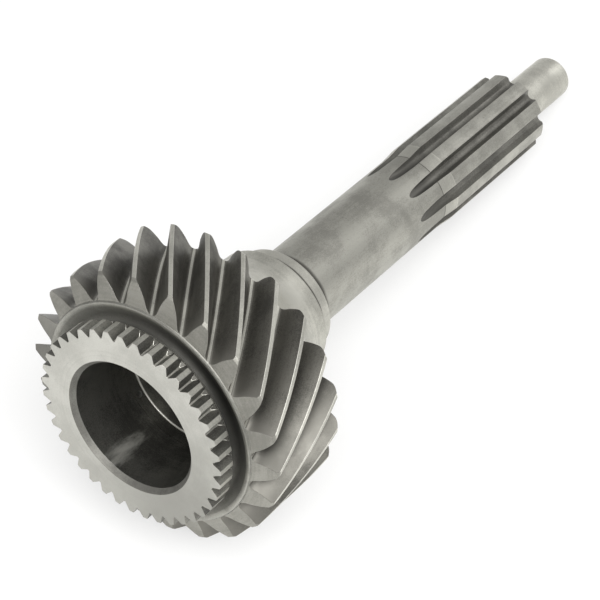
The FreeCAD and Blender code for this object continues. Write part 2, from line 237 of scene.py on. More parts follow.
LAND_STEPS = 5
LENGTH_STEPS = 4
GAP_LINES = 3
dog_pitch = TURN / DOG_COUNT
dog_widening = (DOG_GAP_MOUTH - DOG_GAP_FLOOR) / 2 / (DOG_TIP - DOG_ROOT)


def dog_flank(height):
    """Radius and half angle of the gap's flank at a height above its floor."""
    half = DOG_GAP_FLOOR / 2 + dog_widening * height
    return math.hypot(DOG_ROOT + height, half), math.atan2(half, DOG_ROOT + height)


def dog_height(radius):
    """Height at which the flank reaches a radius."""
    return solve(lambda height: dog_flank(height)[0] - radius, 0, DOG_TIP - DOG_ROOT)


def bevel_length(radius):
    """Where the bevel behind the dog teeth lies at a radius."""
    return DOG_LENGTH + DOG_TIP - radius


def dog_gap_end(radius):
    """Where a line of the gap ends."""
    slope = DOG_LENGTH + max(radius - DOG_ROOT, 0)
    return min(slope, DOG_LENGTH + DOG_GAP_SLOPE, bevel_length(radius))


slope_top = DOG_ROOT + DOG_GAP_SLOPE
wall_top = DOG_TIP - DOG_GAP_SLOPE
flanks = [dog_flank(height) for height in between(0, dog_height(slope_top), GAP_LINES)]
flanks += [dog_flank(height) for height in between(dog_height(wall_top), dog_height(DOG_TIP), GAP_LINES)]
wall_line = GAP_LINES + 1
walled = flanks[:wall_line + 1]
bevelled = flanks[wall_line:]
print("gap lines", len(flanks), "and its end slope reaches", round(slope_top / MM, 2), "mm")

# %% [markdown]
# The ring of teeth repeats that gap. Each turn of the loop lays the two flanks, the floor and
# the end slope of one gap, then the face, the tip and the bevel of the tooth beside it.

# %% Dog ring
def dog_span(gap, half):
    """Angles across one tooth, from the gap before it to the gap after it."""
    return between(gap + half, gap + dog_pitch - half, LAND_STEPS)


for tooth in range(DOG_COUNT):
    gap = DOG_TURN + tooth * dog_pitch
    for side in (-1, 1):
        patch([[(radius, gap + side * half, length)
                for length in between(0, dog_gap_end(radius), LENGTH_STEPS)]
               for radius, half in flanks], "gap")
    floor_radius, floor_half = flanks[0]
    patch([[(floor_radius, gap + side * floor_half, length)
            for length in between(0, dog_gap_end(floor_radius), LENGTH_STEPS)]
           for side in (-1, 1)], "dog")
    patch([[(radius, gap + side * half, dog_gap_end(radius)) for side in (-1, 1)]
           for radius, half in walled], "groove")
    patch([[(radius, angle, 0) for angle in dog_span(gap, half)] for radius, half in flanks], "face")
    tip_radius, tip_half = flanks[-1]
    patch([[(tip_radius, angle, length) for angle in dog_span(gap, tip_half)]
           for length in between(0, DOG_LENGTH, LENGTH_STEPS)], "dog")
    patch([[(radius, angle, bevel_length(radius)) for angle in dog_span(gap, half)]
           for radius, half in bevelled], "dog")
print("dog teeth", DOG_COUNT, "faces so far", len(skin.faces))

# %% [markdown]
# ## The face and the pocket
# The flat ring face is ground, and the pocket behind it is the outer race of a roller bearing.
# Both are turned, so a profile carried around the axis makes them.

# %% Face and pocket
def dog_ring_angles(half):
    """Angles of a full ring that meets the dog ring's points at a half gap angle."""
    return [angle for tooth in range(DOG_COUNT)
            for angle in dog_span(DOG_TURN + tooth * dog_pitch, half)]


def rounded(radius, length, size, steps):
    """A quarter round from a turned side at a radius to a flat end at a length."""
    return [(radius - size * (1 - math.cos(turn)), length - size * (1 - math.sin(turn)))
            for turn in between(0, math.pi / 2, steps)]


face_angles = dog_ring_angles(flanks[0][1])
back_angles = dog_ring_angles(flanks[wall_line][1])
lathe([(radius, 0) for radius in between(flanks[0][0], POCKET_MOUTH, 5)], face_angles, "face")
pocket_walls = [(POCKET, length) for length in between(POCKET_BEVEL, POCKET_WALL, 12)]
relief_start = POCKET_WALL + POCKET_RELIEF - POCKET
lathe([(POCKET_MOUTH, 0)] + pocket_walls[:1], face_angles, "mouth")
lathe(pocket_walls, face_angles, "pocket")
lathe([pocket_walls[-1], (POCKET_RELIEF, relief_start)], face_angles, "pocket")
lathe([(POCKET_RELIEF, length) for length in between(relief_start, POCKET_DEPTH - FLOOR_ROUND, 3)],
      face_angles, "pocket")
lathe(rounded(POCKET_RELIEF, POCKET_DEPTH, FLOOR_ROUND, 3), face_angles, "edge")
lathe([(radius, POCKET_DEPTH) for radius in between(POCKET_RELIEF - FLOOR_ROUND, 0, 6)],
      face_angles, "pocket")
print("pocket", round(2 * POCKET / MM, 2), "mm wide and", round(POCKET_DEPTH / MM, 1), "mm deep")

# %% [markdown]
# ## The recess
# The recess behind the dog teeth clears the sleeve. A round-nosed tool turned it: a straight
# neck, a round corner and a bottom that slopes forward to the rim of the gear.

# %% Recess
round_middle = NECK + RECESS_ROUND


def web_length(radius):
    """Where the sloping bottom of the recess lies at a radius."""
    return RECESS_BOTTOM - (radius - NECK) * math.tan(RECESS_SLOPE)


round_angles = between(math.pi, math.pi / 2 - RECESS_SLOPE, 6)
round_rise = RECESS_ROUND / math.cos(RECESS_SLOPE)
centre_length = web_length(round_middle) - round_rise
recess_round = [(round_middle + RECESS_ROUND * math.cos(turn),
                 centre_length + RECESS_ROUND * math.sin(turn)) for turn in round_angles]
STITCH = 1.0 * MM
stitch_radius = recess_round[-1][0] + STITCH
lathe([(wall_top, bevel_length(wall_top)), RING_BACK], back_angles, "dog")
lathe([RING_BACK, (NECK, NECK_START), recess_round[0]], back_angles, "recess")
lathe(recess_round + [(stitch_radius, web_length(stitch_radius))], back_angles, "recess")
print("recess bottom at", round(max(spot[1] for spot in recess_round) / MM, 2), "mm")

# %% [markdown]
# ## The helical gear
# A hob cuts involute flanks above a flat root with round corners. The cross-section of half a
# gap is worked out once here. An involute is the curve of a thread's end as it unwinds from a
# circle, and two wheels with such flanks turn each other evenly.

# %% Gap of the gear
gear_pitch = TURN / GEAR_TEETH
base_radius = GEAR_PITCH * math.cos(PRESSURE_ANGLE)


def involute(radius):
    """Angle that an involute has turned through at a radius."""
    lean = math.acos(min(base_radius / radius, 1))
    return math.tan(lean) - lean


tip_half = gear_pitch / 2 - math.asin(GEAR_LAND / 2 / GEAR_TIP)
base_half = tip_half - involute(GEAR_TIP)


def flank_at(radius):
    """Point of the gap's flank, in the plane across the shaft."""
    half = base_half + involute(radius)
    return Vector((radius * math.cos(half), radius * math.sin(half)))


def curve(start, pull, end, steps):
    """Points along a curve that leaves and arrives along its pulling point."""
    return [start * (1 - step) ** 2 + pull * 2 * step * (1 - step) + end * step ** 2
            for step in between(0, 1, steps)]


NUDGE = 0.1 * MM
meeting = GEAR_ROOT + GEAR_ROOT_ROUND
flank_foot = flank_at(meeting)
flank_way = (flank_at(meeting + NUDGE) - flank_foot).normalized()
reach = (flank_foot.x - GEAR_ROOT) / flank_way.x
pull = flank_foot - flank_way * reach
root_start = Vector((GEAR_ROOT, GEAR_ROOT_FLAT / 2))
section = [(GEAR_ROOT, 0.0)]
section += [(spot.length, math.atan2(spot.y, spot.x)) for spot in curve(root_start, pull, flank_foot, 4)]
bevel_radius = GEAR_TIP - GEAR_TIP_BEVEL
back_radius = GEAR_TIP - GEAR_BACK_BEVEL
flank_radii = between(meeting, back_radius, 5)[1:] + between(back_radius, bevel_radius, 3)[1:] + [GEAR_TIP]
section += [(radius, base_half + involute(radius)) for radius in flank_radii]
root_section = section[:2]
flank_section = section[1:]
print("gap section points", len(section))

# %% [markdown]
# ## The teeth of the gear
# Each point of the section runs along the helix, from the bevelled front to the back, so the
# rows follow the cut and shade smoothly. One loop lays the flanks, the front, the back and the
# land of each tooth, and gives each one the finish of the step that made it; the flat root's
# light finish is a painted highlight.

# %% Teeth of the gear
TOOTH_STEPS = 6
WIDTH_STEPS = 22
front_slope = (GEAR_BEVEL_END - RIM_BACK) / (GEAR_TIP - RIM)
bevel_start = RIM_BACK + (bevel_radius - RIM) * front_slope
bevel_rise = (GEAR_BEVEL_END + GEAR_TIP_BEVEL - bevel_start) / GEAR_TIP_BEVEL


def gear_front(radius):
    """Where the gear's bevelled front lies at a radius."""
    if radius <= bevel_radius:
        return RIM_BACK + (radius - RIM) * front_slope
    return bevel_start + (radius - bevel_radius) * bevel_rise


def gear_end(radius):
    """Where the gear's back lies at a radius: its flat face, or the rounding around it."""
    outwards = min(max(radius - back_radius, 0) / GEAR_BACK_BEVEL, 1)
    return GEAR_TIP_END + (1 - outwards ** 2) * (GEAR_BACK - GEAR_TIP_END)


def gap_turn(length):
    """Angle of a gap's middle at a length, on the left-hand helix."""
    return GEAR_TURN + TURN / GEAR_LEAD * (GEAR_TIP_END - length)


def tooth_span(tooth, half, length):
    """Angles across one tooth at a length."""
    middle = gap_turn(length) + tooth * gear_pitch
    return between(middle + half, middle + gear_pitch - half, TOOTH_STEPS)


for tooth in range(GEAR_TEETH):
    for side in (-1, 1):
        # The flat root takes a light finish as a painted highlight.
        for part, finish in ((root_section, "root"), (flank_section, "flank")):
            patch([[(radius, gap_turn(length) + tooth * gear_pitch + side * half, length)
                    for length in between(gear_front(radius), gear_end(radius), WIDTH_STEPS)]
                   for radius, half in part], finish)
    for end, finish in ((gear_front, "bevel"), (gear_end, "shoulder")):
        patch([[(radius, angle, end(radius)) for angle in tooth_span(tooth, half, end(radius))]
               for radius, half in section], finish)
    lengths = between(gear_front(GEAR_TIP), GEAR_TIP_END, WIDTH_STEPS)
    patch([[(GEAR_TIP, angle, length) for angle in tooth_span(tooth, section[-1][1], length)]
           for length in lengths], "land")
print("gear teeth", GEAR_TEETH, "faces so far", len(skin.faces))

# %% [markdown]
# ## The rim
# A narrow rounded rim joins the recess to the gear's front. The ring of the dog teeth and the
# ring of the gear have different numbers of points, so a strip of triangles stitches them.

# %% Rim
def stitch(spot_a, angles_a, spot_b, angles_b, finish):
    """Triangles between two rings that have different numbers of points."""
    ring_a = [point((spot_a[0], angle, spot_a[1])) for angle in angles_a]
    ring_b = [point((spot_b[0], angle, spot_b[1])) for angle in angles_b]
    turns_a = [angle - angles_a[0] for angle in angles_a] + [TURN]
    turns_b = [angle - angles_a[0] for angle in angles_b] + [angles_b[0] - angles_a[0] + TURN]
    index = FINISHES.index(finish)
    a = b = 0
    while a < len(ring_a) or b < len(ring_b):
        on_a, on_b = ring_a[a % len(ring_a)], ring_b[b % len(ring_b)]
        if b >= len(ring_b) or (a < len(ring_a) and turns_a[a + 1] <= turns_b[b + 1]):
            a += 1
            ahead = ring_a[a % len(ring_a)]
        else:
            b += 1
            ahead = ring_b[b % len(ring_b)]
        skin.faces.new((on_a, ahead, on_b)).material_index = index


def even_ring(length):
    """The ring of points at the gear's root at a length."""
    return [angle for tooth in range(GEAR_TEETH) for angle in tooth_span(tooth, 0, length)[:-1]]


front_angles = even_ring(gear_front(GEAR_ROOT))
rim_corner = Vector((RIM, RIM_FRONT))
rim_start = Vector((RIM, RIM_BACK))
rim_finish = Vector((RIM_FACE - RIM_ROUND, web_length(RIM_FACE - RIM_ROUND)))
rim = curve(rim_start, rim_corner, rim_finish, 6)
lathe([(GEAR_ROOT, gear_front(GEAR_ROOT))] + [tuple(spot) for spot in rim], front_angles, "rim")
stitch_end = stitch_radius + STITCH
lathe([(radius, web_length(radius)) for radius in between(RIM_FACE - RIM_ROUND, stitch_end, 3)],
      front_angles, "recess")
stitch((stitch_end, web_length(stitch_end)), front_angles,
       (stitch_radius, web_length(stitch_radius)), back_angles, "recess")
print("rim from", round(stitch_end / MM, 2), "to", round(GEAR_ROOT / MM, 2), "mm")

# %% [markdown]
# ## Shoulder, collar and journal
# Behind the gear a cone runs into the collar with a wide blend, which carries the load of the
# teeth into the shaft. The collar's flat side is the stop for the bearing on the journal.

# %% Shoulder, collar and journal
foot = GEAR_BACK + (SHOULDER - COLLAR) / math.tan(SHOULDER_ANGLE)
blend_end = foot + SHOULDER_BLEND * math.tan(SHOULDER_ANGLE / 2)
blend = [(COLLAR + SHOULDER_BLEND * (1 - math.cos(lean)), blend_end - SHOULDER_BLEND * math.sin(lean))
         for lean in between(SHOULDER_ANGLE, 0, 8)]
cone = [(SHOULDER + (blend[0][0] - SHOULDER) * step, GEAR_BACK + (blend[0][1] - GEAR_BACK) * step)
        for step in between(0, 1, 3)]
rear_angles = even_ring(GEAR_BACK)
lathe([(GEAR_ROOT, GEAR_BACK)] + cone, rear_angles, "shoulder")
lathe(blend + [(COLLAR, COLLAR_END)], rear_angles, "shoulder")
lathe([(COLLAR, COLLAR_END), (JOURNAL + STITCH, COLLAR_END), (JOURNAL, COLLAR_END)],
      rear_angles, "shoulder")
lathe([(JOURNAL, length) for length in between(COLLAR_END, JOURNAL_END - JOURNAL_BEVEL, 4)],
      rear_angles, "journal")
lathe([(JOURNAL, JOURNAL_END - JOURNAL_BEVEL), (JOURNAL - JOURNAL_BEVEL, JOURNAL_END)],
      rear_angles, "shoulder")
undercut = (SHAFT - UNDERCUT_DEPTH, JOURNAL_END)
print("blend from", round(blend[0][1] / MM, 2), "to", round(blend_end / MM, 2), "mm")

# %% [markdown]
# ## The shaft and its splines
# The splines take the clutch plate. A round cutter made each gap: it ran along the shaft at
# full depth, then lifted out, so the gap ends in a pointed boat shape. Its section has a
# rounded floor and two straight flanks.

# %% Spline gap
spline_pitch = TURN / SPLINE_COUNT
cutter_depth = SHAFT - SPLINE_ROOT
cutter_run = math.sqrt(SPLINE_CUTTER ** 2 - (SPLINE_CUTTER - cutter_depth) ** 2)
full_depth_at = SPLINE_GAP_START + cutter_run
foot_half = SPLINE_FOOT / 2
foot_round = (foot_half ** 2 + SPLINE_FOOT_HEIGHT ** 2) / (2 * SPLINE_FOOT_HEIGHT)
flank_run = (SPLINE_MOUTH - SPLINE_FOOT) / 2
flank_climb = SPLINE - SPLINE_ROOT - SPLINE_FOOT_HEIGHT


def gap_height(length, aside):
    """How high the gap stands above the axis at a length and at a distance from its middle."""
    before = max(full_depth_at - length, 0)
    cutter_rise = SPLINE_CUTTER - math.sqrt(SPLINE_CUTTER ** 2 - before ** 2)
    if aside < foot_half:
        section_rise = foot_round - math.sqrt(foot_round ** 2 - aside ** 2)
    else:
        section_rise = SPLINE_FOOT_HEIGHT + (aside - foot_half) * flank_climb / flank_run
    return SPLINE_ROOT + cutter_rise + section_rise


def blank_radius(length):
    """Radius of the turned blank along the shaft and the splines."""
    if length <= RAMP_START:
        return SHAFT
    if length <= RAMP_END:
        return SHAFT + (SPLINE - SHAFT) * (length - RAMP_START) / (RAMP_END - RAMP_START)
    return SPLINE - max(length - (SPLINE_END - SPLINE_BEVEL), 0)


def gap_half_width(length):
    """How wide half of the gap is at the blank's surface."""
    depth = blank_radius(length)
    return solve(lambda half: math.hypot(gap_height(length, half), half) - depth, 0, SPLINE_MOUTH)


print("cutter runs out over", round(cutter_run / MM, 1), "mm")

# %% [markdown]
# Rows of points run across the shaft, and crowd together at the pointed start of the gap. In
# each row the gap's points spread as far as the gap is wide there, and the land's points fill
# the rest. A narrow dark line marks the start of the ramp, and a narrow light line its end.

# %% Splines
GAP_STEPS = 8
SPLINE_LAND_STEPS = 12
RUN_ROWS = 18
ROW_CROWDING = 1.6


def spline_row(length, gap_number):
    """Spots across one gap, then across the land beside it."""
    half = gap_half_width(length)
    turn = gap_number * spline_pitch
    gap_spots = []
    for aside in between(-half, half, GAP_STEPS):
        height = gap_height(length, abs(aside))
        gap_spots.append((math.hypot(height, aside), turn + math.atan2(aside, height), length))
    edge = math.asin(half / blank_radius(length))
    land_spots = [(blank_radius(length), angle, length)
                  for angle in between(turn + edge, turn + spline_pitch - edge, SPLINE_LAND_STEPS)]
    return gap_spots, land_spots


lengths = [SPLINE_GAP_START + cutter_run * (step / RUN_ROWS) ** ROW_CROWDING
           for step in range(1, RUN_ROWS - 2)]
lengths += [RAMP_START] + between(RAMP_START + RAMP_LINE, RAMP_END - RAMP_LINE, 5)
lengths += between(RAMP_END, SPLINE_END - SPLINE_BEVEL, 22) + [SPLINE_END]
rows = [[spline_row(length, gap) for length in lengths] for gap in range(SPLINE_COUNT)]
start_angles = [[gap * spline_pitch + angle for angle in between(0, spline_pitch, SPLINE_LAND_STEPS)]
                for gap in range(SPLINE_COUNT)]
ramp_from = sum(length <= RAMP_START for length in lengths)
ramp_to = sum(length <= RAMP_END for length in lengths)
for gap, gap_rows in enumerate(rows):
    tip = (SHAFT, gap * spline_pitch, SPLINE_GAP_START)
    patch([[tip] * (GAP_STEPS + 1)] + [row[0] for row in gap_rows], "groove")
    shaft_row = [(SHAFT, angle, SPLINE_GAP_START) for angle in start_angles[gap]]
    lands = [row[1] for row in gap_rows]
    patch([shaft_row] + lands[:ramp_from], "shaft")
    patch(lands[ramp_from - 1:ramp_from + 1], "groove")
    patch(lands[ramp_from:ramp_to - 1], "journal")
    patch(lands[ramp_to - 2:ramp_to], "pilot")
    patch(lands[ramp_to - 1:], "spline")
print("spline rows", len(lengths), "faces so far", len(skin.faces))

# %% [markdown]
# ## The plain shaft
# This length only carries the torque, so it needs no fine finish, and handling has left faint
# marks along it. The undercut beside the journal gives the grinding wheel room to run out.
# Another strip of triangles joins the rings of the journal and of the shaft.

# %% Plain shaft
shaft_angles = [angle for ring in start_angles for angle in ring[:-1]]
shaft_start = JOURNAL_END + UNDERCUT_WIDTH
lathe([(JOURNAL - JOURNAL_BEVEL, JOURNAL_END), (SHAFT + STITCH, JOURNAL_END)], rear_angles, "shoulder")
stitch((SHAFT + STITCH, JOURNAL_END), rear_angles, undercut, shaft_angles, "shoulder")
lathe([undercut, (SHAFT - UNDERCUT_DEPTH, shaft_start), (SHAFT, shaft_start)], shaft_angles, "shaft")
lathe([(SHAFT, length) for length in between(shaft_start, SPLINE_GAP_START, 12)], shaft_angles, "shaft")
print("plain shaft to", round(SPLINE_GAP_START / MM, 1), "mm")

# %% [markdown]
# ## The pilot nose
# The nose runs in a bush in the crankshaft. It is ground, has a small blend at its root and a
# rounded rim, and keeps the centre hole on which the shaft turned in the lathe: a cone of 60
# degrees with a small drilled hole in its middle.

# %% Pilot
SPLINE_END_RINGS = (11.2 * MM, 10.0 * MM)
end_ring = []
for gap_rows in rows:
    gap_spots, land_spots = gap_rows[-1]
    end_ring += gap_spots + land_spots[1:-1]
pilot_angles = [angle for _, angle, _ in end_ring]
root_ring = PILOT + PILOT_ROOT
rings = [end_ring] + [[(radius, angle, SPLINE_END) for angle in pilot_angles]
                      for radius in (*SPLINE_END_RINGS, root_ring)]
patch(rings, "spline", loop=True)
root_curve = [(root_ring - PILOT_ROOT * math.sin(turn), SPLINE_END + PILOT_ROOT * (1 - math.cos(turn)))
              for turn in between(0, math.pi / 2, 4)]
lathe(root_curve, pilot_angles, "pilot")
lathe([(PILOT, length) for length in between(root_curve[-1][1], PILOT_END - PILOT_ROUND, 6)],
      pilot_angles, "pilot")
lathe(rounded(PILOT, PILOT_END, PILOT_ROUND, 6), pilot_angles, "pilot")
lathe([(PILOT - PILOT_ROUND, PILOT_END), (CENTRE_HOLE, PILOT_END),
       (CENTRE_DRILL, PILOT_END - (CENTRE_HOLE - CENTRE_DRILL) * CENTRE_SLOPE),
       (CENTRE_DRILL, PILOT_END - CENTRE_DRILL_END), (0, PILOT_END - CENTRE_DRILL_POINT)],
      pilot_angles, "pilot")
print("faces in all", len(skin.faces))

# %% [markdown]
# ## Welding and rounding
# The patches are welded into one closed skin. Edges that turn by more than 25 degrees are
# marked for a small rounding, since no real edge is perfectly sharp. The skin is then laid
# down in the frame, where its place and the solid's are the same.

# %% One skin
WELD = 2e-6
SLIVER = 1e-6
SHARP = math.radians(25)


def add_object(name, data):
    """An object in the scene from its mesh, lamp or camera."""
    added = bpy.data.objects.new(name, data)
    bpy.context.scene.collection.objects.link(added)
    return added


bmesh.ops.remove_doubles(skin, verts=skin.verts, dist=WELD)
bmesh.ops.dissolve_degenerate(skin, edges=skin.edges, dist=SLIVER)
bmesh.ops.recalc_face_normals(skin, faces=skin.faces)
print("open edges", sum(len(edge.link_faces) != 2 for edge in skin.edges))
weights = skin.edges.layers.float.new("bevel_weight_edge")
for edge in skin.edges:
    if len(edge.link_faces) == 2 and edge.calc_face_angle() > SHARP:
        edge[weights] = 1.0
for face in skin.faces:
    face.smooth = True
shaft_mesh = bpy.data.meshes.new("shaft skin")
skin.to_mesh(shaft_mesh)
volume = skin.calc_volume(signed=True)
skin.free()
shaft_mesh.transform(shaft_place)
shaft = add_object("shaft", shaft_mesh)
print("vertices", len(shaft_mesh.vertices), "volume", round(volume * 1e6, 1), "cubic centimetres")

# %% [markdown]
# ## Node groups for machined steel
# Each cutter leaves its own pattern, and each node group holds one pattern, so that every
# finish can share it. These short helpers keep the groups readable.

# %% Group tools
def new_group(name, inputs, outputs, kind="NodeSocketFloat"):
    """A node group, what it is given and what it results in, as named sockets inside it."""
    tree = bpy.data.node_groups.new(name, "ShaderNodeTree")
    kinds = {1: "NodeSocketFloat", 3: "NodeSocketVector", 4: "NodeSocketColor"}
    for label, value in inputs.items():
        own_kind = kinds[len(value) if isinstance(value, tuple) else 1]
        tree.interface.new_socket(label, in_out="INPUT", socket_type=own_kind).default_value = value
    for label in outputs:
        tree.interface.new_socket(label, in_out="OUTPUT", socket_type=kind)
    return tree, tree.nodes.new("NodeGroupInput").outputs, tree.nodes.new("NodeGroupOutput").inputs


def wire(tree, start, end):
    """Feeds an input socket from another socket, or with a number or a colour."""
    if isinstance(start, bpy.types.NodeSocket):
        tree.links.new(end, start)
    else:
        end.default_value = start


def sums(tree, operation, *values):
    """A math node, and its result."""
    node = tree.nodes.new("ShaderNodeMath")
    node.operation = operation
    for value, socket in zip(values, node.inputs):
        wire(tree, value, socket)
    return node.outputs[0]


def weighed(tree, first, share, second, other_share):
    """Two values added up, each times its share."""
    return sums(tree, "ADD", sums(tree, "MULTIPLY", first, share),
                sums(tree, "MULTIPLY", second, other_share))


print("group tools ready")

# %% [markdown]
# All patterns are made of noise laid out in the shaft's own frame, so that they follow its
# axis however the shaft lies. A ramp turns a value into a mask with a soft border.

# %% Pattern tools
TO_MM = 1000.0


def noise(tree, dimensions, place, scale, detail=2.0, roughness=0.5):
    """A noise texture on a place or on a single length, and its value."""
    node = tree.nodes.new("ShaderNodeTexNoise")
    node.noise_dimensions = dimensions
    wire(tree, place, node.inputs["W" if dimensions == "1D" else "Vector"])
    wire(tree, scale, node.inputs["Scale"])
    node.inputs["Detail"].default_value = detail
    node.inputs["Roughness"].default_value = roughness
    return node.outputs[0]


def ramp(tree, value, low, high, start=0.0, end=1.0):
    """A value mapped smoothly from one range to another."""
    node = tree.nodes.new("ShaderNodeMapRange")
    node.interpolation_type = "SMOOTHSTEP"
    for number, socket in zip((value, low, high, start, end), node.inputs):
        wire(tree, number, socket)
    return node.outputs[0]


def shaft_place_of(tree):
    """Place on the shaft: the vector itself, the radius and the length along the shaft."""
    unlaid = tree.nodes.new("ShaderNodeMapping")
    wire(tree, tree.nodes.new("ShaderNodeTexCoord").outputs["Object"], unlaid.inputs["Vector"])
    unlaid.inputs["Location"].default_value = to_shaft.to_translation()
    unlaid.inputs["Rotation"].default_value = to_shaft.to_euler()
    spot = unlaid.outputs[0]
    parts = tree.nodes.new("ShaderNodeSeparateXYZ")
    wire(tree, spot, parts.inputs[0])
    x, y, z = parts.outputs
    return spot, sums(tree, "SQRT", weighed(tree, x, x, y, y)), z


print("pattern tools ready")

# %% [markdown]
# ## Turned rings
# A lathe tool leaves fine rings around the axis. They depend only on the distance along the
# profile, which is radius plus length, so one pattern serves faces, cones and cylinders. The
# rings fade in places, where handling has smoothed them.

# %% Turned rings
tree, given, result = new_group("Turned rings", {"Feed": 4.0, "Breaks": 0.5}, ["Height", "Tone"])
spot, radius, length = shaft_place_of(tree)
profile = sums(tree, "MULTIPLY", sums(tree, "ADD", radius, length), TO_MM)
fine = noise(tree, "1D", profile, given["Feed"], 3.0)
broad = noise(tree, "1D", profile, 0.7, 2.0)
breaks = noise(tree, "3D", spot, 160.0, 3.0)
fading = sums(tree, "SUBTRACT", 1.0, sums(tree, "MULTIPLY", breaks, given["Breaks"]))
wire(tree, sums(tree, "MULTIPLY", fine, fading), result["Height"])
wire(tree, weighed(tree, fine, 0.6, broad, 0.4), result["Tone"])
turned = tree
print(turned.name, "ready")

# %% [markdown]
# ## Lines along a cut
# Hobs and milling cutters leave long fine lines in the direction of the cut: noise drawn out
# 40 times along it. On the gear the place is first unwound by the helix, so that the lines
# follow the teeth. With a twist of zero they run straight along the shaft.

# %% Lines along a cut
LINE_STRETCH = (TO_MM, TO_MM, TO_MM / 40)
tree, given, result = new_group("Lines along a cut", {"Fineness": 9.0, "Twist": TURN / GEAR_LEAD},
                                ["Height", "Tone"])
spot, _, length = shaft_place_of(tree)
unwound = tree.nodes.new("ShaderNodeVectorRotate")
unwound.rotation_type = "Z_AXIS"
wire(tree, spot, unwound.inputs["Vector"])
wire(tree, sums(tree, "MULTIPLY", length, given["Twist"]), unwound.inputs["Angle"])
stretch = tree.nodes.new("ShaderNodeVectorMath")
stretch.operation = "MULTIPLY"
wire(tree, unwound.outputs[0], stretch.inputs[0])
stretch.inputs[1].default_value = LINE_STRETCH
fine = noise(tree, "3D", stretch.outputs[0], given["Fineness"], 3.0)
broad = noise(tree, "3D", stretch.outputs[0], 0.9, 3.0)
wire(tree, fine, result["Height"])
wire(tree, weighed(tree, fine, 0.4, broad, 0.6), result["Tone"])
lines = tree
print(lines.name, "ready")

# %% [markdown]
# ## Clouds and specks
# Oil, handling and storage leave soft clouds of a lighter and a darker tone on bare steel, with
# a few small dark specks. The finest noise is the grain of the surface, which shows as a
# faint sparkle and an uneven tone.

# %% Clouds and specks
tree, given, result = new_group("Clouds and specks", {"Size": 60.0}, ["Clouds", "Specks", "Grain"])
spot = shaft_place_of(tree)[0]
large = noise(tree, "3D", spot, given["Size"], 6.0, 0.64)
wire(tree, ramp(tree, large, 0.33, 0.67), result["Clouds"])
specks = noise(tree, "3D", spot, 900.0, 2.0, 0.6)
wire(tree, ramp(tree, specks, 0.66, 0.74), result["Specks"])
wire(tree, noise(tree, "3D", spot, 2600.0, 3.0, 0.65), result["Grain"])
clouds_group = tree
print(clouds_group.name, "ready")

# %% [markdown]
# ## Steel colour
# One group blends a light and a dark steel by the cutter's tone, the clouds and the grain, and
# lays the specks on top. Every finish gets its two colours, and the blend is the same for all.

# %% Steel colour
SPECK = (0.06, 0.055, 0.05, 1.0)


def blend_colour(tree, factor, first, second):
    """A colour between two others."""
    node = tree.nodes.new("ShaderNodeMix")
    node.data_type = "RGBA"
    wire(tree, factor, node.inputs[0])
    wire(tree, first, node.inputs[6])
    wire(tree, second, node.inputs[7])
    return node.outputs[2]


tree, given, result = new_group(
    "Steel colour", {"Light": (0.5, 0.5, 0.47, 1.0), "Dark": (0.3, 0.3, 0.28, 1.0), "Tone": 0.5,
                     "Clouds": 0.5, "Specks": 0.0, "Grain": 0.5}, ["Colour"], "NodeSocketColor")
spread = weighed(tree, given["Tone"], 0.55, given["Clouds"], 0.45)
grained = sums(tree, "MULTIPLY", sums(tree, "SUBTRACT", given["Grain"], 0.5), 0.9)
spread = sums(tree, "ADD", spread, grained)
steel_tone = blend_colour(tree, ramp(tree, spread, 0.2, 0.8), given["Dark"], given["Light"])
specked = blend_colour(tree, sums(tree, "MULTIPLY", given["Specks"], 0.2), steel_tone, SPECK)
wire(tree, specked, result["Colour"])
colour_group = tree
print(colour_group.name, "ready")

# %% [markdown]
# ## Zone of the shaft
# This mask lays a band of another colour: painted shade in the corners beside the collar and
# the journal and in the recess beside the dog ring, a painted reflection on the fronts of the
# gear's flanks, and a darker start of the spline gaps. It is full up to a start and fades out
# at an end, both in millimetres, counted along the shaft or outwards from its axis. A little
# noise makes its border uneven.

# %% Zone of the shaft
tree, given, result = new_group(
    "Zone of the shaft", {"Along": 1.0, "Start": 0.0, "End": 1.0, "Unevenness": 0.5}, ["Mask"])
spot, radius, length = shaft_place_of(tree)
outwards = sums(tree, "SUBTRACT", 1.0, given["Along"])
reached = weighed(tree, radius, outwards, length, given["Along"])
ragged = sums(tree, "SUBTRACT", noise(tree, "3D", spot, 220.0, 3.0), 0.5)
reached = weighed(tree, reached, TO_MM, ragged, given["Unevenness"])
wire(tree, ramp(tree, reached, given["Start"], given["End"], 1.0, 0.0), result["Mask"])
zone_group = tree
print(zone_group.name, "ready")

# %% [markdown]
# ## Soft patch
# This mask lays a rounded patch that is lighter or darker than the rest: painted shade on
# one side of the recess and of the gear's front, a painted reflection and painted shade on the
# flanks, a painted highlight in the pocket, and patches of another tone on the face, the
# shoulder and the pilot. The mask fades out from a centre over its reach in millimetres, and a
# stretch draws it out along one direction, such as the painted highlight along the pocket.

# %% Soft patch
tree, given, result = new_group(
    "Soft patch", {"Centre": (0.0, 0.0, 0.0), "Stretch": (1.0, 1.0, 1.0), "Reach": 5.0, "Unevenness": 1.0},
    ["Mask"])
spot = shaft_place_of(tree)[0]
steps = []
for operation, other in (("SUBTRACT", "Centre"), ("DIVIDE", "Stretch"), ("LENGTH", None)):
    step = tree.nodes.new("ShaderNodeVectorMath")
    step.operation = operation
    wire(tree, steps[-1].outputs[0] if steps else spot, step.inputs[0])
    if other:
        wire(tree, given[other], step.inputs[1])
    steps.append(step)
ragged = sums(tree, "SUBTRACT", noise(tree, "3D", steps[1].outputs[0], 500.0, 4.0, 0.65), 0.5)
away = weighed(tree, steps[-1].outputs["Value"], TO_MM, ragged, given["Unevenness"])
wire(tree, ramp(tree, away, 0.0, given["Reach"], 1.0, 0.0), result["Mask"])
patch_group = tree
print(patch_group.name, "ready")

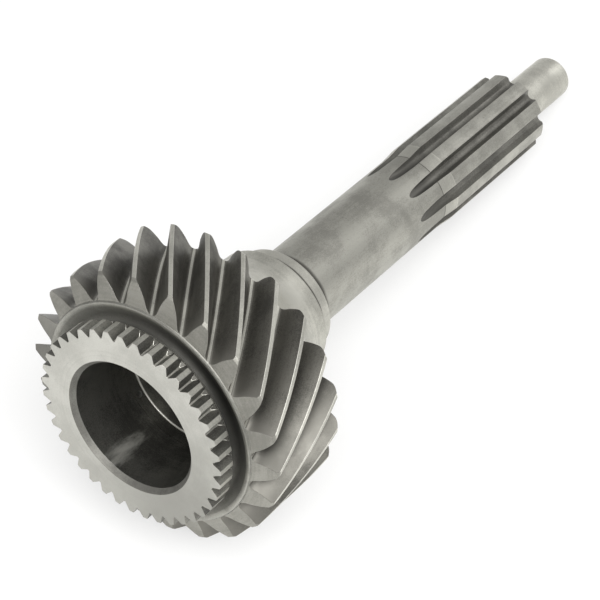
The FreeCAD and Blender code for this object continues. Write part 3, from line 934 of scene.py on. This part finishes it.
# %% [markdown]
# ## One finish
# A finish joins one cutter's pattern with the clouds, the steel's colour and a slight relief.
# Its masked tones come from the two mask groups: under each mask the steel takes another colour, as
# painted shade, a painted highlight or reflection, or a patch of tone.

# %% One finish
METALLIC = 0.85


def use_group(tree, group, settings):
    """A node that runs a group with its settings."""
    node = tree.nodes.new("ShaderNodeGroup")
    node.node_tree = group
    for label, value in settings.items():
        node.inputs[label].default_value = value
    return node


def finish(name, light, dark, roughness, pattern, settings, depth, *masked_tones):
    """A steel material from two tones, a roughness, one cutter's pattern and its depth in mm.

    Each masked tone is a mask's group with its settings, and the colour the steel has under it.
    """
    material = bpy.data.materials.new(name + " steel")
    material.use_nodes = True
    tree = material.node_tree
    shader = tree.nodes["Principled BSDF"]
    marks = use_group(tree, pattern, settings)
    dirt = use_group(tree, clouds_group, {})
    colour = use_group(tree, colour_group, {"Light": (*light, 1.0), "Dark": (*dark, 1.0)})
    wire(tree, marks.outputs["Tone"], colour.inputs["Tone"])
    for label in ("Clouds", "Specks", "Grain"):
        wire(tree, dirt.outputs[label], colour.inputs[label])
    steel = colour.outputs["Colour"]
    for group, place, masked_colour in masked_tones:
        mask = use_group(tree, group, place)
        steel = blend_colour(tree, mask.outputs["Mask"], steel, (*masked_colour, 1.0))
    wire(tree, steel, shader.inputs["Base Color"])
    shader.inputs["Metallic"].default_value = METALLIC
    wire(tree, ramp(tree, dirt.outputs["Clouds"], 0.0, 1.0, roughness + 0.05, roughness - 0.05),
         shader.inputs["Roughness"])
    relief = sums(tree, "ADD", marks.outputs["Height"], sums(tree, "MULTIPLY", dirt.outputs["Grain"], 0.5))
    bump = tree.nodes.new("ShaderNodeBump")
    bump.inputs["Distance"].default_value = depth * MM
    wire(tree, relief, bump.inputs["Height"])
    wire(tree, bump.outputs["Normal"], shader.inputs["Normal"])
    return material


print("a finish is metallic to", METALLIC)

# %% [markdown]
# ## The finishes of the zones
# Every finish is the same steel. What differs is how the surface was cut, how light it is left
# and how rough it is: ground faces are light, cut flanks are dark and oily, and the turned
# zones lie between. The gear's flat root is light as a painted highlight, and the edge finish
# is light partly from wear and partly as a painted highlight. The table names the real zones
# of the shaft, and its masks add painted shade in corners, in the recess and on one side of
# the gear's front, painted reflections on the flanks, a painted highlight in the pocket, and
# patches of another tone on the face, the shoulder, the pilot and the spline runouts.

# %% Table of finishes
# Painted shade for the inner corners beside the collar and the journal.
CORNER_SHADE = (0.1, 0.096, 0.086)
STRAIGHT = {"Twist": 0.0}


def zone(start, end, colour, along=1.0, unevenness=0.5):
    """A band of another colour up to a length in mm, or up to a radius with along at zero: painted shade,
    a painted reflection or a darker runout.
    """
    return zone_group, {"Along": along, "Start": start, "End": end, "Unevenness": unevenness}, colour


def soft(centre, reach, unevenness, colour, stretch=(1.0, 1.0, 1.0)):
    """A soft patch of another colour around a place on the shaft: painted shade, a painted highlight or
    reflection, or a patch of tone.
    """
    return patch_group, {"Centre": centre, "Stretch": stretch, "Reach": reach,
                         "Unevenness": unevenness}, colour


FINISH_TABLE = {
    "face": ((0.53, 0.525, 0.487), (0.44, 0.435, 0.402), 0.44, turned, {"Feed": 2.2}, 0.005,
             soft((0.0215, -0.018, 0.0), 52.0, 10.0, (0.3, 0.296, 0.272))),
    # The pocket's soft patch is a painted highlight: a light streak along the bore.
    "pocket": ((0.2, 0.197, 0.178), (0.075, 0.073, 0.066), 0.36, turned, {"Feed": 5.0}, 0.01,
               soft((0.0191, 0.0079, 0.0075), 4.2, 6.0, (0.62, 0.613, 0.564), (0.9, 0.9, 2.8))),
    "mouth": ((0.2, 0.196, 0.178), (0.12, 0.117, 0.106), 0.55, turned, {"Feed": 3.0}, 0.004),
    "dog": ((0.52, 0.513, 0.466), (0.32, 0.315, 0.286), 0.42, lines, STRAIGHT, 0.006),
    "gap": ((0.25, 0.246, 0.222), (0.11, 0.108, 0.098), 0.42, lines, STRAIGHT, 0.006),
    # The recess darkens towards the dog ring and on one side: painted shade.
    "recess": ((0.34, 0.335, 0.305), (0.24, 0.236, 0.215), 0.55, turned, {"Feed": 2.5}, 0.006,
               zone(28.0, 31.2, (0.11, 0.108, 0.098), along=0.0),
               soft((-0.0184, -0.0262, 0.0105), 51.0, 4.0, (0.05, 0.049, 0.044))),
    "rim": ((0.38, 0.374, 0.34), (0.25, 0.246, 0.224), 0.5, turned, {"Feed": 2.5}, 0.006),
    # The bevel's darker soft patch is painted shade on one side of the gear's front.
    "bevel": ((0.31, 0.303, 0.273), (0.23, 0.225, 0.202), 0.5, turned, {"Feed": 0.8}, 0.003,
              soft((0.002, 0.043, 0.0095), 34.0, 6.0, (0.17, 0.166, 0.15))),
    # The flanks' lighter front ends and their lighter patch are painted reflections; the darker patch is
    # painted shade.
    "flank": ((0.185, 0.179, 0.159), (0.085, 0.082, 0.073), 0.48, lines, {}, 0.008,
              zone(9.0, 17.0, (0.18, 0.174, 0.155), unevenness=3.0),
              soft((-0.004, -0.042, 0.03), 15.0, 5.0, (0.17, 0.165, 0.147), (1.0, 1.0, 1.6)),
              soft((-0.004, -0.0402, 0.012), 15.0, 3.0, (0.1, 0.097, 0.086), (1.3, 1.0, 1.0))),
    # The root's light colour is a painted highlight along the bottom of each gap.
    "root": ((0.6, 0.59, 0.53), (0.4, 0.393, 0.353), 0.4, lines, {}, 0.006),
    "land": ((0.55, 0.541, 0.487), (0.38, 0.374, 0.336), 0.4, lines, {}, 0.006),
    "shoulder": ((0.5, 0.492, 0.443), (0.33, 0.324, 0.29), 0.42, turned, {"Feed": 1.2}, 0.006,
                 soft((-0.018, -0.0125, 0.058), 10.0, 6.0, (0.4, 0.393, 0.355))),
    # The journal darkens beside the collar: painted shade in the corner.
    "journal": ((0.5, 0.492, 0.444), (0.36, 0.354, 0.319), 0.4, turned, {"Feed": 4.0}, 0.005,
                zone(68.9, 69.5, CORNER_SHADE)),
    # The shaft darkens beside the journal: painted shade in the corner.
    "shaft": ((0.39, 0.384, 0.346), (0.26, 0.255, 0.23), 0.46, lines, STRAIGHT, 0.003,
              zone(76.4, 77.6, CORNER_SHADE)),
    "spline": ((0.42, 0.413, 0.373), (0.27, 0.265, 0.239), 0.42, lines, STRAIGHT, 0.006),
    "groove": ((0.22, 0.215, 0.193), (0.11, 0.107, 0.096), 0.42, lines, STRAIGHT, 0.006,
               zone(136.0, 146.0, (0.1, 0.097, 0.087))),
    "pilot": ((0.6, 0.59, 0.532), (0.42, 0.413, 0.372), 0.42, turned, {"Feed": 4.0}, 0.005,
              soft((-0.0058, -0.0047, 0.219), 4.0, 2.0, (0.42, 0.413, 0.372), (0.5, 0.5, 3.0))),
    # The edge finish is light partly from wear and partly as a painted highlight on rounded edges.
    "edge": ((0.58, 0.571, 0.523), (0.43, 0.423, 0.383), 0.4, lines, STRAIGHT, 0.003),
}
for name in FINISHES:
    shaft.data.materials.append(finish(name, *FINISH_TABLE[name]))
print("finishes", len(FINISH_TABLE))

# %% [markdown]
# ## Oil hole and rounded edges
# A small drilled hole leads oil from the gear's root to the rollers in the pocket. It is cut
# through the wall first. Then the marked edges are rounded, and the rounded strips get a
# finish of their own, to be sorted in the next step.

# %% Oil hole and rounding
DRILL_LENGTH = 22 * MM
DRILL_MIDDLE = 29 * MM
EDGE_ROUND = 0.12 * MM
hole_turn = gap_turn(OIL_HOLE_AT) + OIL_HOLE_GAP * gear_pitch
drill = bpy.data.meshes.new("oil drill")
drill_shape = bmesh.new()
bmesh.ops.create_cone(drill_shape, cap_ends=True, segments=32, radius1=OIL_HOLE, radius2=OIL_HOLE,
                      depth=DRILL_LENGTH)
drill_shape.to_mesh(drill)
drill_shape.free()
drill_object = add_object("oil drill", drill)
hole_middle = Matrix.Translation((DRILL_MIDDLE * math.cos(hole_turn), DRILL_MIDDLE * math.sin(hole_turn),
                                  OIL_HOLE_AT))
drill_object.matrix_world = (shaft_place @ hole_middle @ Matrix.Rotation(hole_turn, 4, "Z")
                             @ Matrix.Rotation(math.pi / 2, 4, "Y"))
drilling = shaft.modifiers.new("oil hole", "BOOLEAN")
drilling.object = drill_object
drilling.solver = "EXACT"
rounding = shaft.modifiers.new("rounded edges", "BEVEL")
rounding.limit_method = "WEIGHT"
rounding.width = EDGE_ROUND
rounding.segments = 2
rounding.use_clamp_overlap = False
rounding.harden_normals = True
rounding.material = FINISHES.index("edge")
graph = bpy.context.evaluated_depsgraph_get()
finished = bpy.data.meshes.new_from_object(shaft.evaluated_get(graph), preserve_all_data_layers=True,
                                           depsgraph=graph)
shaft.modifiers.clear()
shaft.data = finished
bpy.data.objects.remove(drill_object)
print("finished triangles", sum(len(face.vertices) - 2 for face in finished.polygons))

# %% [markdown]
# ## Light edges
# Some rounded edges keep a light finish, partly from wear and partly as a painted highlight:
# the borders of the gear's lands, the ends of the dog gaps, where the sleeve strikes, and the
# pocket's floor. Every other rounded strip takes the finish of the faces beside it, as on a
# part that has been stored and handled.

# %% Light edges
EDGE = FINISHES.index("edge")
WEAR_AND_HIGHLIGHT_ZONES = [
    (GEAR_TIP - 0.5 * MM, GEAR_TIP + 0.5 * MM,
     GEAR_BEVEL_END + GEAR_TIP_BEVEL + 0.15 * MM, GEAR_TIP_END + 0.3 * MM),
    (0, DOG_ROOT + 0.45 * MM, DOG_LENGTH - 0.2 * MM, DOG_LENGTH + 0.45 * MM),
    (0, POCKET_RELIEF + 0.1 * MM, POCKET_DEPTH - 1 * MM, POCKET_DEPTH + 1 * MM),
]


def in_wear_and_highlight_zone(spot):
    """Whether an edge lies in a zone of radii and lengths whose rounded edges keep the light finish, from
    wear and as a painted highlight.
    """
    radius = math.hypot(spot.x, spot.y)
    return any(low < radius < high and start < spot.z < end for low, high, start, end in WEAR_AND_HIGHLIGHT_ZONES)


edge_sorting = bmesh.new()
edge_sorting.from_mesh(finished)
waiting = [face for face in edge_sorting.faces
           if face.material_index == EDGE and not in_wear_and_highlight_zone(to_shaft @ face.calc_center_median())]
left_over = []
while len(waiting) != len(left_over):
    left_over, waiting = waiting, []
    unsorted = set(left_over)
    for face in left_over:
        beside = [other.material_index for edge in face.edges for other in edge.link_faces
                  if other not in unsorted]
        if beside:
            face.material_index = max(set(beside), key=beside.count)
        else:
            waiting.append(face)
edge_sorting.to_mesh(finished)
edge_sorting.free()
print("worn faces", sum(face.material_index == EDGE for face in finished.polygons))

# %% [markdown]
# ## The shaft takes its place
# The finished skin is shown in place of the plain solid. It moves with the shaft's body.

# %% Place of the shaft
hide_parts("input_shaft")
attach(shaft, "root")
print(shaft.name, "replaces the solid")

# %% [markdown]
# ## Camera
# The camera stands where the photographer stood: above and in front of the head, with a long
# lens, so that the shaft leads away to the upper right.

# %% Camera
camera_data = bpy.data.cameras.new("camera")
camera = add_object("camera", camera_data)
right = Vector((0.80425616, 0.59419173, -0.01040258))
up = Vector((-0.45031011, 0.62074404, 0.64179252))
back = Vector((0.38780515, -0.5114812, 0.76680777))
place = Matrix((right, up, back)).transposed().to_4x4()
place.translation = Vector((0.257397, -0.370449, 0.538002))
camera.matrix_world = place
camera_data.lens = 130.366
camera_data.sensor_width = 36
bpy.context.scene.camera = camera
print("camera", camera_data.lens, "mm")

# %% [markdown]
# ## Floor, world and lamps
# The part lies on a white table under soft, even light, at a level at which a colour renders
# about as it is written. The white that the camera sees comes from the background itself
# and adds no light to the steel.

# %% World
world = bpy.data.worlds.new("white room")
bpy.context.scene.world = world
world.use_nodes = True
tree = world.node_tree
sky = tree.nodes["Background"]
sky.inputs["Color"].default_value = (1.0, 1.0, 0.99, 1.0)
sky.inputs["Strength"].default_value = 0.55
seen = tree.nodes.new("ShaderNodeBackground")
seen.inputs["Color"].default_value = (1.0, 1.0, 1.0, 1.0)
choose = tree.nodes.new("ShaderNodeMixShader")
rays = tree.nodes.new("ShaderNodeLightPath")
wire(tree, rays.outputs["Is Camera Ray"], choose.inputs[0])
wire(tree, sky.outputs[0], choose.inputs[1])
wire(tree, seen.outputs[0], choose.inputs[2])
wire(tree, choose.outputs[0], tree.nodes["World Output"].inputs["Surface"])
print("world strength", sky.inputs["Strength"].default_value)

# %% [markdown]
# The table is a sheet of white paper, which keeps a faint shadow, so that the shaft is seen
# to lie on something. Farther out the paper turns fully white, and its edge doesn't show.

# %% Table
HALF = 1.5
NEAR_WHITE = 0.6
FADE_START, FADE_END = 0.15, 0.6
floor_mesh = bpy.data.meshes.new("table")
floor_mesh.from_pydata([(-HALF, -HALF, 0), (HALF, -HALF, 0), (HALF, HALF, 0), (-HALF, HALF, 0)],
                       [], [(0, 1, 2, 3)])
floor = add_object("table", floor_mesh)
paper = bpy.data.materials.new("white paper")
paper.use_nodes = True
tree = paper.node_tree
shader = tree.nodes["Principled BSDF"]
shader.inputs["Base Color"].default_value = (0.9, 0.9, 0.89, 1.0)
shader.inputs["Roughness"].default_value = 0.9
shader.inputs["Specular IOR Level"].default_value = 0.0
lit = tree.nodes.new("ShaderNodeEmission")
lit.inputs["Color"].default_value = (1.0, 1.0, 1.0, 1.0)
rays = tree.nodes.new("ShaderNodeLightPath")
bright = tree.nodes.new("ShaderNodeMixShader")
distance = tree.nodes.new("ShaderNodeVectorMath")
distance.operation = "LENGTH"
wire(tree, tree.nodes.new("ShaderNodeTexCoord").outputs["Object"], distance.inputs[0])
own_white = ramp(tree, distance.outputs["Value"], FADE_START, FADE_END, NEAR_WHITE, 1.0)
wire(tree, sums(tree, "MULTIPLY", rays.outputs["Is Camera Ray"], own_white), bright.inputs[0])
wire(tree, shader.outputs[0], bright.inputs[1])
wire(tree, lit.outputs[0], bright.inputs[2])
wire(tree, bright.outputs[0], tree.nodes["Material Output"].inputs["Surface"])
floor_mesh.materials.append(paper)
print("table of", paper.name)

# %% [markdown]
# ## Lamps
# Large soft lamps stand overhead, at the right, beside the camera and behind the shaft. None
# stands at the left, so the flanks that face left stay dark and the helix reads clearly.

# %% Lamps
def area_lamp(name, place, aim, size, power):
    """A soft square lamp that shines at a place."""
    data = bpy.data.lights.new(name, "AREA")
    data.shape = "SQUARE"
    data.size = size
    data.energy = power
    lamp = add_object(name, data)
    lamp.location = place
    lamp.rotation_euler = (Vector(aim) - Vector(place)).to_track_quat("-Z", "Y").to_euler()


area_lamp("overhead", (0.4, -0.3, 0.9), (0, 0, 0.04), 0.7, 9.0)
area_lamp("right side", (0.9, -0.1, 0.5), (0, -0.05, 0.04), 0.6, 1.0)
area_lamp("beside the camera", (0.1, -0.8, 0.85), (0, -0.1, 0.04), 0.4, 2.5)
area_lamp("backdrop", (0.3, 1.2, 0.45), (0, 0, 0.04), 0.8, 2.0)
bpy.context.scene.view_settings.view_transform = "Standard"
